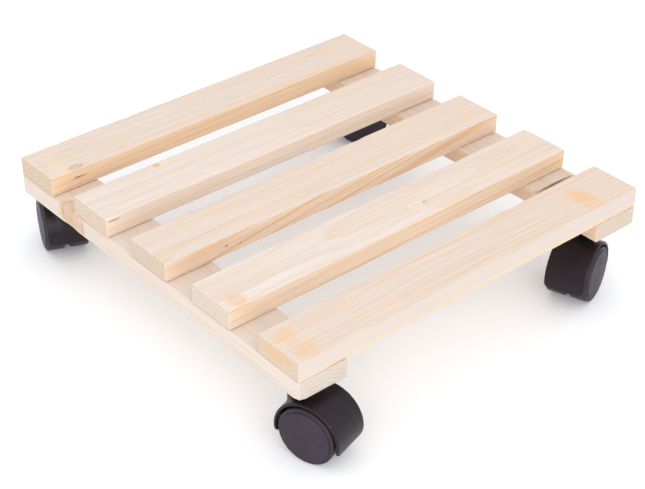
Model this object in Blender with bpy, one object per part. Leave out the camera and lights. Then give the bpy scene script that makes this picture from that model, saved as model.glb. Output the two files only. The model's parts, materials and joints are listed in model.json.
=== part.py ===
"""Plant pot caddy: a square slatted softwood platform on four hooded twin-wheel swivel casters.

Metres, +Z up. The origin is on the floor under the middle of the platform, X runs along the slats
and Y runs across them, from the front slat's side (-Y) to the back one's (+Y).
"""
import math

import bmesh
import bpy
from mathutils import Vector

# ---------------------------------------------------------------- driving dimensions

TOTAL_HEIGHT = 0.0790
TOUCH_GAP = 0.0003  # left between pieces that touch
CUT_PAST = 0.001  # how far a cutting tool runs past the face that it cuts

# Platform
SLAT_COUNT = 5
SLAT_LENGTH = 0.300
SLAT_WIDTH = 0.039
SLAT_THICKNESS = 0.0145
PLATFORM_WIDTH = 0.304  # across the slats
BEARER_WIDTH = 0.038
BEARER_THICKNESS = 0.014
BROKEN_EDGE = 0.0008  # the sanded edge of every stick

# Staples, two at each crossing, driven up through the bearer into the slat
STAPLE_WIRE = 0.0011
STAPLE_CROWN = 0.0080
STAPLE_LEG = 0.0240
STAPLE_SUNK = 0.0004  # the crown's depth in the bearer's lower face
STAPLE_FROM_MIDDLE = 0.1180  # along the slat
STAPLE_FROM_CENTRE_LINE = 0.0105  # to each side of the slat's own centre line

# Caster, in its own frame: the swivel axis is Z, and the axle is square to X
WHEEL_RADIUS = 0.020
WHEEL_PROUD = 0.0018  # how far the crown of a wheel stands out of the hood's side
CASTER_TRAIL = 0.015  # from the swivel axis to the axle
HOOD_RADIUS = 0.0236
HOOD_WALL = 0.0022
HOOD_WIDTH = 0.0294
HOOD_BELOW_AXLE = 0.0070  # how far the hood's lower edge hangs under the axle's height
WEB_THICKNESS = 0.003  # the wall between the two wheels
BOSS_RADIUS = 0.0068
STEM_RADIUS = 0.0038
STEM_GROOVE_RADIUS = 0.0030
STEM_ABOVE_HOOD = 0.0230
STEM_IN_BOSS = 0.0080
RING_RADIUS = 0.0040
RING_HEIGHT = 0.0010
RING_BELOW_STEM_TOP = 0.0045
RING_SPAN_DEG = 325.0
SOCKET_BORE_RADIUS = 0.0043
SOCKET_RADIUS = 0.0055
SOCKET_LENGTH = 0.0220
FLANGE_RADIUS = 0.0080
FLANGE_THICKNESS = 0.0012
AXLE_RADIUS = 0.0020
AXLE_LENGTH = 0.0240
AXLE_HOLE_RADIUS = AXLE_RADIUS + TOUCH_GAP
RIM_INNER_RADIUS = 0.0164  # the recess in a wheel's inner side, between its rim and its hub
HUB_RADIUS = 0.0060
RECESS_DEPTH_FROM_WEB = 0.0090  # from the caster's middle plane to the floor of that recess

# Where each stem hole is drilled, by hand, and the way each caster has come to rest: the heading is
# the direction from the swivel axis to the axle
CASTERS = {
    "front_left": {"x": -0.1345, "y": -0.1325, "heading_deg": -73.5},
    "front_right": {"x": 0.1280, "y": -0.1312, "heading_deg": -159.5},
    "back_left": {"x": -0.1319, "y": 0.1306, "heading_deg": 68.1},
    "back_right": {"x": 0.1310, "y": 0.1320, "heading_deg": -30.0},
}

# Facets in a full turn
WHEEL_FACETS = 28
HOOD_FACETS = 40
SMALL_FACETS = 20

# ---------------------------------------------------------------- heights that follow

SLAT_BOTTOM = TOTAL_HEIGHT - SLAT_THICKNESS
BEARER_TOP = SLAT_BOTTOM - TOUCH_GAP
BEARER_BOTTOM = BEARER_TOP - BEARER_THICKNESS
FLANGE_TOP = BEARER_BOTTOM - TOUCH_GAP
FLANGE_BOTTOM = FLANGE_TOP - FLANGE_THICKNESS
HOOD_TOP = FLANGE_BOTTOM - TOUCH_GAP
STEM_BOTTOM = HOOD_TOP - STEM_IN_BOSS
STEM_TOP = HOOD_TOP + STEM_ABOVE_HOOD
RING_MIDDLE = STEM_TOP - RING_BELOW_STEM_TOP
SOCKET_TOP = FLANGE_BOTTOM + SOCKET_LENGTH
STEM_HOLE_TOP = STEM_TOP + CUT_PAST
SLAT_PITCH = (PLATFORM_WIDTH - SLAT_WIDTH) / (SLAT_COUNT - 1)
AXLE_HEIGHT = WHEEL_RADIUS


def clear_scene():
    """Remove every object that the file opened with."""
    for thing in list(bpy.data.objects):
        bpy.data.objects.remove(thing, do_unlink=True)


def make_material(name, colour, roughness, metallic=0.0):
    """Return a Principled material of one colour."""
    material = bpy.data.materials.new(name)
    material.use_nodes = True
    shader = material.node_tree.nodes["Principled BSDF"]
    shader.inputs["Base Color"].default_value = (*colour, 1.0)
    shader.inputs["Roughness"].default_value = roughness
    shader.inputs["Metallic"].default_value = metallic
    return material


def mesh_from(name, bm, smooth_angle_deg=None):
    """Turn a bmesh into a mesh with its faces outwards, and free the bmesh."""
    bmesh.ops.recalc_face_normals(bm, faces=bm.faces[:])
    mesh = bpy.data.meshes.new(name)
    bm.to_mesh(mesh)
    bm.free()
    if smooth_angle_deg is not None:
        mesh.shade_smooth()
        mesh.set_sharp_from_angle(angle=math.radians(smooth_angle_deg))
    return mesh


def place(name, mesh, material, parent=None, location=(0.0, 0.0, 0.0), turn_z=0.0):
    """Put a mesh into the scene as one named piece."""
    piece = bpy.data.objects.new(name, mesh)
    bpy.context.scene.collection.objects.link(piece)
    piece.parent = parent
    piece.location = location
    piece.rotation_euler = (0.0, 0.0, turn_z)
    if material is not None and not mesh.materials:
        mesh.materials.append(material)
    return piece


def place_cutter(name, mesh):
    """Put a mesh into the scene as a cutting tool, which isn't a piece."""
    cutter = place(name, mesh, None)
    cutter.hide_render = True
    cutter.display_type = "WIRE"
    return cutter


def add_boolean(piece, cutter, operation):
    """Add an exact Boolean of the piece with another object."""
    modifier = piece.modifiers.new(operation.lower() + "_" + cutter.name, "BOOLEAN")
    modifier.operation = operation
    modifier.solver = "EXACT"
    modifier.object = cutter


def add_box(bm, low, high):
    """Add an axis-aligned box between two corners."""
    size = Vector(high) - Vector(low)
    made = bmesh.ops.create_cube(bm, size=1.0)
    bmesh.ops.scale(bm, vec=size, verts=made["verts"])
    bmesh.ops.translate(bm, vec=(Vector(high) + Vector(low)) / 2, verts=made["verts"])


def add_prism(bm, outline, depth, to_point):
    """Extrude a closed outline. to_point turns one of its points and a depth into a 3-D point."""
    rings = [[bm.verts.new(to_point(point, side * depth / 2)) for point in outline] for side in (-1, 1)]
    bm.faces.new(rings[0])
    bm.faces.new(reversed(rings[1]))
    for index in range(len(outline)):
        after = (index + 1) % len(outline)
        bm.faces.new((rings[0][index], rings[0][after], rings[1][after], rings[1][index]))


def add_turned(bm, profile, facets, closed, to_point, span_deg=360.0):
    """Turn a profile of (radius, height) points about an axis.

    A closed profile is a ring's section, and an open one runs from the axis back to the axis. A span
    under a full turn leaves two flat ends.
    """
    full = span_deg >= 360.0
    steps = facets if full else facets + 1
    columns = []
    for step in range(steps):
        angle = math.radians(span_deg) * step / facets
        column = []
        for index, (radius, height) in enumerate(profile):
            if radius == 0.0 and step > 0:
                column.append(columns[0][index])
            else:
                column.append(bm.verts.new(to_point(radius, angle, height)))
        columns.append(column)
    segments = len(profile) if closed else len(profile) - 1
    for step in range(facets):
        here = columns[step]
        there = columns[(step + 1) % steps]
        for index in range(segments):
            after = (index + 1) % len(profile)
            corners = [here[index], there[index], there[after], here[after]]
            bm.faces.new([v for n, v in enumerate(corners) if v not in corners[:n]])
    if not full:
        bm.faces.new(columns[0])
        bm.faces.new(columns[-1])


def about_z(radius, angle, height):
    """Return the point of a profile turned about Z."""
    return (radius * math.cos(angle), radius * math.sin(angle), height)


def about_y(radius, angle, height):
    """Return the point of a profile turned about Y."""
    return (radius * math.sin(angle), height, radius * math.cos(angle))


def slat_middle_y(number):
    """Return a slat's centre line. Slat 1 is at the back and slat 5 at the front."""
    return ((SLAT_COUNT + 1) / 2 - number) * SLAT_PITCH


def staple_places():
    """Yield the number, x and y of each staple, slat by slat."""
    number = 0
    for slat in range(1, SLAT_COUNT + 1):
        for side in (-1, 1):
            for row in (-1, 1):
                number += 1
                yield number, side * STAPLE_FROM_MIDDLE, slat_middle_y(slat) + row * STAPLE_FROM_CENTRE_LINE


def add_staple(bm, x, y, grow, low):
    """Add a staple, its crown across the slat and its legs up. The hole for it is the same, grown."""
    crown_bottom = BEARER_BOTTOM + STAPLE_SUNK
    half = STAPLE_CROWN / 2 + grow
    inner = STAPLE_CROWN / 2 - STAPLE_WIRE - grow
    over = crown_bottom + STAPLE_WIRE + grow
    tip = crown_bottom + STAPLE_LEG + grow
    outline = [(-half, low), (-half, tip), (-inner, tip), (-inner, over),
               (inner, over), (inner, tip), (half, tip), (half, low)]
    add_prism(bm, outline, STAPLE_WIRE + 2 * grow,
              lambda point, depth: (x + depth, y + point[0], point[1]))


def make_wood_cutter():
    """Return the shapes of all the staple and stem holes, as one cutting tool."""
    bm = bmesh.new()
    for _, x, y in staple_places():
        add_staple(bm, x, y, TOUCH_GAP, BEARER_BOTTOM - CUT_PAST)
    hole_radius = SOCKET_RADIUS + TOUCH_GAP
    for spot in CASTERS.values():
        profile = [(0.0, BEARER_BOTTOM - CUT_PAST), (hole_radius, BEARER_BOTTOM - CUT_PAST),
                   (hole_radius, STEM_HOLE_TOP), (0.0, STEM_HOLE_TOP)]
        add_turned(bm, profile, SMALL_FACETS, False,
                   lambda r, a, z, s=spot: (s["x"] + r * math.cos(a), s["y"] + r * math.sin(a), z))
    return place_cutter("wood_holes", mesh_from("wood_holes", bm))


def make_stick(name, low, high, material, cutter):
    """Make one sawn stick: a box with broken edges, and its holes."""
    bm = bmesh.new()
    centre = (Vector(low) + Vector(high)) / 2
    add_box(bm, Vector(low) - centre, Vector(high) - centre)
    stick = place(name, mesh_from(name, bm), material, location=centre)
    edges = stick.modifiers.new("broken_edges", "BEVEL")
    edges.width = BROKEN_EDGE
    edges.segments = 1
    edges.limit_method = "ANGLE"
    add_boolean(stick, cutter, "DIFFERENCE")


def make_platform(wood, steel):
    """Make the slats, the two bearers under their ends, and the staples."""
    cutter = make_wood_cutter()
    half_length = SLAT_LENGTH / 2
    half_width = PLATFORM_WIDTH / 2
    for number in range(1, SLAT_COUNT + 1):
        middle = slat_middle_y(number)
        make_stick(f"slat_{number}", (-half_length, middle - SLAT_WIDTH / 2, SLAT_BOTTOM),
                   (half_length, middle + SLAT_WIDTH / 2, TOTAL_HEIGHT), wood, cutter)
    for side, x_low in (("left", -half_length), ("right", half_length - BEARER_WIDTH)):
        make_stick(f"bearer_{side}", (x_low, -half_width, BEARER_BOTTOM),
                   (x_low + BEARER_WIDTH, half_width, BEARER_TOP), wood, cutter)
    bm = bmesh.new()
    add_staple(bm, 0.0, 0.0, 0.0, BEARER_BOTTOM + STAPLE_SUNK)
    staple_mesh = mesh_from("staple", bm)
    for number, x, y in staple_places():
        place(f"staple_{number:02d}", staple_mesh, steel, location=(x, y, 0.0))


def hood_outline(radius, below_axle):
    """Return the hood's side view about the axle: an arc over the top, closed by a flat lower edge."""
    dip = math.asin(below_axle / radius)
    sweep = math.pi + 2 * dip
    count = math.ceil(HOOD_FACETS * sweep / (2 * math.pi))
    angles = [math.pi + dip - sweep * step / count for step in range(count + 1)]
    return [(radius * math.cos(angle), radius * math.sin(angle)) for angle in angles]


def make_hood_mesh():
    """Make the hood: a half-round cover, the web between the wheels, and the boss that holds the stem."""
    def in_side_view(point, depth):
        return (CASTER_TRAIL + point[0], depth, AXLE_HEIGHT + point[1])

    def about_axle(radius, angle, height):
        x, y, z = about_y(radius, angle, height)
        return (CASTER_TRAIL + x, y, AXLE_HEIGHT + z)

    bm = bmesh.new()
    add_prism(bm, hood_outline(HOOD_RADIUS, HOOD_BELOW_AXLE), HOOD_WIDTH, in_side_view)
    hood = place("hood_pattern", mesh_from("hood_pattern", bm), None)

    bm = bmesh.new()
    boss_low = AXLE_HEIGHT + HOOD_RADIUS / 3
    add_turned(bm, [(0.0, boss_low), (BOSS_RADIUS, boss_low), (BOSS_RADIUS, HOOD_TOP), (0.0, HOOD_TOP)],
               SMALL_FACETS, False, about_z)
    boss = place_cutter("boss", mesh_from("boss", bm))

    bm = bmesh.new()
    well_radius = HOOD_RADIUS - HOOD_WALL
    for side in (-1, 1):
        near = side * WEB_THICKNESS / 2
        far = side * (HOOD_WIDTH / 2 + CUT_PAST)
        add_turned(bm, [(0.0, near), (well_radius, near), (well_radius, far), (0.0, far)],
                   HOOD_FACETS, False, about_axle)
    wells = place_cutter("wheel_wells", mesh_from("wheel_wells", bm))

    bm = bmesh.new()
    bore_radius = STEM_RADIUS + TOUCH_GAP
    bore_low = STEM_BOTTOM - TOUCH_GAP
    bore_high = HOOD_TOP + CUT_PAST
    add_turned(bm, [(0.0, bore_low), (bore_radius, bore_low), (bore_radius, bore_high), (0.0, bore_high)],
               SMALL_FACETS, False, about_z)
    hole_half = WEB_THICKNESS / 2 + CUT_PAST
    add_turned(bm, [(0.0, -hole_half), (AXLE_HOLE_RADIUS, -hole_half),
                    (AXLE_HOLE_RADIUS, hole_half), (0.0, hole_half)],
               SMALL_FACETS, False, about_axle)
    bores = place_cutter("bores", mesh_from("bores", bm))

    add_boolean(hood, boss, "UNION")
    add_boolean(hood, wells, "DIFFERENCE")
    add_boolean(hood, bores, "DIFFERENCE")
    bpy.context.view_layer.update()
    evaluated = hood.evaluated_get(bpy.context.evaluated_depsgraph_get())
    mesh = bpy.data.meshes.new_from_object(evaluated)
    for helper in (hood, boss, wells, bores):
        bpy.data.objects.remove(helper, do_unlink=True)
    mesh.shade_smooth()
    mesh.set_sharp_from_angle(angle=math.radians(30.0))
    return mesh


def make_wheel_mesh():
    """Make one wheel: a tread, a crowned outer face, and inside it a rim, a recess and a blind hub."""
    inner_face = WEB_THICKNESS / 2 + 0.0004
    crown = HOOD_WIDTH / 2 + WHEEL_PROUD
    profile = [
        (0.0, crown),
        (0.0090, crown - 0.0002),
        (0.0172, crown - 0.0006),
        (0.0196, crown - 0.0010),
        (WHEEL_RADIUS, crown - 0.0018),
        (WHEEL_RADIUS, inner_face + 0.0012),
        (0.0190, inner_face + 0.0002),
        (RIM_INNER_RADIUS + 0.0004, inner_face + 0.0002),
        (RIM_INNER_RADIUS, RECESS_DEPTH_FROM_WEB),
        (HUB_RADIUS + 0.0004, RECESS_DEPTH_FROM_WEB),
        (HUB_RADIUS, inner_face),
        (AXLE_HOLE_RADIUS, inner_face),
        (AXLE_HOLE_RADIUS, AXLE_LENGTH / 2 + 0.0005),
        (0.0, AXLE_LENGTH / 2 + 0.0005),
    ]
    bm = bmesh.new()
    add_turned(bm, profile, WHEEL_FACETS, False, about_y)
    return mesh_from("wheel", bm, 30.0)


def make_axle_mesh():
    """Make the plain pin that both wheels turn on."""
    half = AXLE_LENGTH / 2
    bm = bmesh.new()
    add_turned(bm, [(0.0, -half), (AXLE_RADIUS, -half), (AXLE_RADIUS, half), (0.0, half)],
               SMALL_FACETS, False, about_y)
    return mesh_from("axle", bm, 30.0)


def make_stem_mesh():
    """Make the stem, with the groove near its top that holds the snap ring."""
    groove_half = RING_HEIGHT / 2 + TOUCH_GAP
    profile = [
        (0.0, STEM_BOTTOM),
        (STEM_RADIUS, STEM_BOTTOM),
        (STEM_RADIUS, RING_MIDDLE - groove_half),
        (STEM_GROOVE_RADIUS, RING_MIDDLE - groove_half),
        (STEM_GROOVE_RADIUS, RING_MIDDLE + groove_half),
        (STEM_RADIUS, RING_MIDDLE + groove_half),
        (STEM_RADIUS - 0.0010, STEM_TOP),
        (0.0, STEM_TOP),
    ]
    bm = bmesh.new()
    add_turned(bm, profile, SMALL_FACETS, False, about_z)
    return mesh_from("stem", bm, 30.0)


def make_ring_mesh():
    """Make the split snap ring that keeps the stem in its socket."""
    inner = STEM_GROOVE_RADIUS + TOUCH_GAP
    low = RING_MIDDLE - RING_HEIGHT / 2
    high = RING_MIDDLE + RING_HEIGHT / 2
    section = [(inner, low), (RING_RADIUS, low), (RING_RADIUS, high), (inner, high)]
    bm = bmesh.new()
    add_turned(bm, section, SMALL_FACETS, True, about_z, span_deg=RING_SPAN_DEG)
    return mesh_from("snap_ring", bm, 30.0)


def make_socket_mesh():
    """Make the flanged sleeve that is pressed up into the bearer."""
    section = [
        (SOCKET_BORE_RADIUS, FLANGE_BOTTOM),
        (FLANGE_RADIUS, FLANGE_BOTTOM),
        (FLANGE_RADIUS, FLANGE_TOP),
        (SOCKET_RADIUS, FLANGE_TOP),
        (SOCKET_RADIUS, SOCKET_TOP),
        (SOCKET_BORE_RADIUS, SOCKET_TOP),
    ]
    bm = bmesh.new()
    add_turned(bm, section, SMALL_FACETS, True, about_z)
    return mesh_from("socket", bm, 30.0)


def make_casters(hood_plastic, wheel_plastic, steel):
    """Make the four casters, each under an empty on its swivel axis, turned to its heading."""
    hood_mesh = make_hood_mesh()
    wheel_mesh = make_wheel_mesh()
    axle_mesh = make_axle_mesh()
    stem_mesh = make_stem_mesh()
    ring_mesh = make_ring_mesh()
    socket_mesh = make_socket_mesh()
    axle_centre = (CASTER_TRAIL, 0.0, AXLE_HEIGHT)
    for corner, spot in CASTERS.items():
        caster = f"caster_{corner}"
        swivel = bpy.data.objects.new(f"{caster}_swivel", None)
        bpy.context.scene.collection.objects.link(swivel)
        swivel.location = (spot["x"], spot["y"], 0.0)
        swivel.rotation_euler = (0.0, 0.0, math.radians(spot["heading_deg"]))
        place(f"{caster}_socket", socket_mesh, steel, location=(spot["x"], spot["y"], 0.0))
        place(f"{caster}_hood", hood_mesh, hood_plastic, parent=swivel)
        place(f"{caster}_stem", stem_mesh, steel, parent=swivel)
        place(f"{caster}_snap_ring", ring_mesh, steel, parent=swivel)
        place(f"{caster}_axle", axle_mesh, steel, parent=swivel, location=axle_centre)
        for side, turn in (("left", 0.0), ("right", math.pi)):
            place(f"{caster}_wheel_{side}", wheel_mesh, wheel_plastic, parent=swivel,
                  location=axle_centre, turn_z=turn)


def main():
    """Build the whole caddy."""
    clear_scene()
    wood = make_material("unfinished_pine", (0.84, 0.66, 0.44), 0.65)
    hood_plastic = make_material("black_nylon", (0.016, 0.014, 0.017), 0.42)
    wheel_plastic = make_material("dark_wheel_nylon", (0.055, 0.050, 0.060), 0.50)
    steel = make_material("zinc_plated_steel", (0.60, 0.60, 0.58), 0.35, 1.0)
    make_platform(wood, steel)
    make_casters(hood_plastic, wheel_plastic, steel)
    bpy.context.view_layer.update()


main()
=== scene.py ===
"""The looks of a slatted pine plant pot caddy on four hooded twin-wheel swivel casters.

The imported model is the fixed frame, and every piece is measured from it, in metres, +Z up. The slats lie
along X, the bearers along Y, and each caster's pieces ride on that caster's own bodies.
"""

import json
import logging
import math
from dataclasses import dataclass, field
from enum import Enum

import bmesh
import bpy
from mathutils import Matrix, Vector, noise


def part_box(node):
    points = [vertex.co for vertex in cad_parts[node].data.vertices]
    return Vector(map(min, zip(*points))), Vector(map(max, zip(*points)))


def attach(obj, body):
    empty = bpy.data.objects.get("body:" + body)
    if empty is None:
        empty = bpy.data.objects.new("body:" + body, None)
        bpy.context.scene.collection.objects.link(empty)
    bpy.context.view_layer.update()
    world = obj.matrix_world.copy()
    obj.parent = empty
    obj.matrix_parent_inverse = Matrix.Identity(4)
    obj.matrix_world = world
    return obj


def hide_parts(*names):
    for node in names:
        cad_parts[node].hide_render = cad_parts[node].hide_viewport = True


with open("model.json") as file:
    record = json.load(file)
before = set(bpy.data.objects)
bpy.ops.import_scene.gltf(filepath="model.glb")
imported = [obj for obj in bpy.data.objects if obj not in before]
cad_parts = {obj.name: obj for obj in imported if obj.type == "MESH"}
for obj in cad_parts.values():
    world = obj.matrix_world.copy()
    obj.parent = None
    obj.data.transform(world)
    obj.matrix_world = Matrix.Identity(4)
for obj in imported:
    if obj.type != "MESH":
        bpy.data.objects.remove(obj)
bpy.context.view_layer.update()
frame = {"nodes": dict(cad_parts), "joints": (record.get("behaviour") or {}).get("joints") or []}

LOG = logging.getLogger("pot_caddy")
GAP = 0.0003  # left between pieces that touch
PAST = 0.001  # how far a cutting tool runs past the face that it cuts
SHARP_DEG = 32.0  # edges of moulded and turned pieces that are sharper than this stay sharp
WHEEL_FACETS = 96
SLEEVE_FACETS = 64
BORE_FACETS = 48
HOLE_FACETS = 40
AXLE_FACETS = 32

Socket = bpy.types.NodeSocket
Colour = tuple[float, float, float]
Point = tuple[float, float, float]
Outline = list[tuple[float, float]]


class Grain(Enum):
    """Which way a board's grain runs."""

    ALONG_X = "x"
    ALONG_Y = "y"


class Mark(Enum):
    """What a mark on a board is."""

    KNOT = "knot"
    # a stain, and also painted shade laid on the same way
    STAIN_AND_SHADE = "stain"
    COMB = "comb"


class Face(Enum):
    """The face of a board that a split opens in."""

    TOP = (0.0, 0.0, 1.0)
    FRONT = (0.0, -1.0, 0.0)


# ---------------------------------------------------------------- node graphs


class Graph:
    """A node tree that is built up one node after another."""

    def __init__(self, tree: bpy.types.NodeTree) -> None:
        """Start on a tree."""
        self.tree = tree

    def add(self, kind: str, feeds: dict[str, object] | None = None, **settings: object) -> bpy.types.Node:
        """Add a node.

        Args:
            kind: Blender's name for the node.
            feeds: What its inputs are fed, by their names.
            settings: Values for the node's own properties.

        Returns:
            The node.
        """
        node = self.tree.nodes.new(kind)
        for name, value in settings.items():
            setattr(node, name, value)
        for name, value in (feeds or {}).items():
            self.feed(node.inputs[name], value)
        return node

    def feed(self, socket: Socket, value: object) -> None:
        """Link a socket to another, or set its value.

        Args:
            socket: The input to feed.
            value: An output socket, or a plain value.
        """
        if isinstance(value, Socket):
            self.tree.links.new(value, socket)
        else:
            socket.default_value = value

    def math(self, operation: str, first: object, second: object = 0.0) -> Socket:
        """Work out a sum of one or two values.

        Args:
            operation: Blender's name for the sum.
            first: The first value.
            second: The second value, where the sum has one.

        Returns:
            The result.
        """
        node = self.add("ShaderNodeMath", operation=operation)
        self.feed(node.inputs[0], first)
        self.feed(node.inputs[1], second)
        return node.outputs[0]

    def joined(self, parts: list[object]) -> Socket:
        """Join three values to a vector.

        Args:
            parts: The three values.

        Returns:
            The vector.
        """
        node = self.add("ShaderNodeCombineXYZ")
        for socket, value in zip(node.inputs, parts):
            self.feed(socket, value)
        return node.outputs[0]


class FinishGraph(Graph):
    """The nodes of one finish."""

    def __init__(self, name: str) -> None:
        """Start a material.

        Args:
            name: The material's name.
        """
        self.material = bpy.data.materials.new(name)
        self.material.use_nodes = True
        super().__init__(self.material.node_tree)
        self.shader = self.tree.nodes["Principled BSDF"]
        self.coordinates = self.add("ShaderNodeTexCoord")
        self.place = self.coordinates.outputs["Object"]

    def dress(self, **values: object) -> None:
        """Feed the shader's inputs, named with _ for a space."""
        for name, value in values.items():
            self.feed(self.shader.inputs[name.replace("_", " ")], value)

    def vector(self, operation: str, first: object, second: object) -> Socket:
        """Work out a vector from two.

        Args:
            operation: Blender's name for the sum.
            first: The first vector.
            second: The second vector.

        Returns:
            The result.
        """
        node = self.add("ShaderNodeVectorMath", operation=operation)
        self.feed(node.inputs[0], first)
        self.feed(node.inputs[1], second)
        return node.outputs["Vector"]

    def length(self, value: Socket) -> Socket:
        """Return a vector's length."""
        return self.add("ShaderNodeVectorMath", {"Vector": value}, operation="LENGTH").outputs["Value"]

    def split(self, value: Socket) -> list[Socket]:
        """Return a vector's three parts."""
        return list(self.add("ShaderNodeSeparateXYZ", {"Vector": value}).outputs)

    def noise(self, place: Socket, stretch: Point, detail: float = 2.0, seed: float = 0.0,
              output: str = "Fac") -> Socket:
        """Lay a noise pattern on stretched coordinates.

        Args:
            place: The coordinates.
            stretch: Waves per metre along each axis.
            detail: How many finer layers it has.
            seed: A shift that makes one board's pattern differ from another's.
            output: Fac for a value, or Color for three.

        Returns:
            The pattern.
        """
        stretched = self.vector("MULTIPLY", place, stretch)
        moved = self.vector("ADD", stretched, (seed * 7.3, seed * 3.1, seed * 5.7))
        feeds = {"Vector": moved, "Scale": 1.0, "Detail": detail, "Roughness": 0.55}
        return self.add("ShaderNodeTexNoise", feeds).outputs[output]

    def remap(self, value: object, low: float, high: float, to_low: float = 0.0,
              to_high: float = 1.0) -> Socket:
        """Return a value carried smoothly from one range to another, and held at its ends."""
        feeds = {"Value": value, "From Min": low, "From Max": high, "To Min": to_low, "To Max": to_high}
        return self.add("ShaderNodeMapRange", feeds, interpolation_type="SMOOTHSTEP").outputs["Result"]

    def mix(self, share: object, base: object, other: object, blend: str = "MIX") -> Socket:
        """Mix two colours.

        Args:
            share: How much of the other colour shows.
            base: The first colour.
            other: The colour over it.
            blend: Blender's name for the way of mixing.

        Returns:
            The mixed colour.
        """
        node = self.add("ShaderNodeMix", {"Factor": share}, data_type="RGBA", blend_type=blend)
        colours = [socket for socket in node.inputs if socket.type == "RGBA"]
        for socket, value in zip(colours, (base, other)):
            self.feed(socket, (*value, 1.0) if isinstance(value, tuple) else value)
        return next(socket for socket in node.outputs if socket.type == "RGBA")

    def ramp(self, value: Socket, stops: list[tuple[float, float]]) -> Socket:
        """Read a value off a curve of straight stretches.

        Args:
            value: Where on the curve, from 0 to 1.
            stops: Each stop's place and its height, from 0 to 1.

        Returns:
            The height there.
        """
        node = self.add("ShaderNodeValToRGB", {"Fac": value})
        bands = node.color_ramp.elements
        while len(bands) < len(stops):
            bands.new(0.5)
        for band, (position, height) in zip(bands, stops):
            band.position = position
            band.color = (height, height, height, 1.0)
        return node.outputs["Color"]

    def bump(self, height: Socket, depth: float, strength: float = 1.0) -> None:
        """Lay a relief from 0 to 1 on the shader, of a depth in metres."""
        feeds = {"Strength": strength, "Distance": depth, "Height": height}
        self.dress(Normal=self.add("ShaderNodeBump", feeds).outputs["Normal"])


class ShapeGraph(Graph):
    """A Geometry Nodes tree with named sizes, ending in real geometry of one material."""

    def __init__(self, name: str, sizes: dict[str, float]) -> None:
        """Start a tree.

        Args:
            name: The tree's name.
            sizes: The named inputs, and the value that each is given.
        """
        super().__init__(bpy.data.node_groups.new(name, "GeometryNodeTree"))
        sockets = self.tree.interface
        sockets.new_socket("Geometry", in_out="INPUT", socket_type="NodeSocketGeometry")
        sockets.new_socket("Geometry", in_out="OUTPUT", socket_type="NodeSocketGeometry")
        self.values = {}
        for size, value in sizes.items():
            socket = sockets.new_socket(size, in_out="INPUT", socket_type="NodeSocketFloat")
            self.values[socket.identifier] = value
        self.start = self.add("NodeGroupInput")
        self.end = self.add("NodeGroupOutput")

    def size(self, name: str) -> Socket:
        """Return a named size of the tree."""
        return self.start.outputs[name]

    def finish(self, geometry: Socket, material: bpy.types.Material) -> None:
        """End the tree: instances become real, and take their material.

        Args:
            geometry: What the tree has made.
            material: The material for all of it.
        """
        real = self.add("GeometryNodeRealizeInstances", {"Geometry": geometry})
        feeds = {"Geometry": real.outputs["Geometry"], "Material": material}
        dressed = self.add("GeometryNodeSetMaterial", feeds)
        self.feed(self.end.inputs["Geometry"], dressed.outputs["Geometry"])

    def make(self, base: bpy.types.Mesh) -> bpy.types.Mesh:
        """Run the tree on a mesh and return the result as a plain mesh.

        Args:
            base: The mesh that the tree starts from.

        Returns:
            The plain mesh.
        """
        holder = new_object(self.tree.name, base)
        modifier = holder.modifiers.new(self.tree.name, "NODES")
        modifier.node_group = self.tree
        for identifier, value in self.values.items():
            modifier[identifier] = value
        made = plain_mesh(holder)
        bpy.data.objects.remove(holder, do_unlink=True)
        return made


# ---------------------------------------------------------------- finishes


@dataclass(frozen=True)
class Blemish:
    """A knot, a stain, a torn patch or a patch of painted shade at one place on a board."""

    mark: Mark
    at: Point
    size: Point  # half lengths along X, Y and Z
    colour: Colour
    strength: float = 1.0


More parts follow.
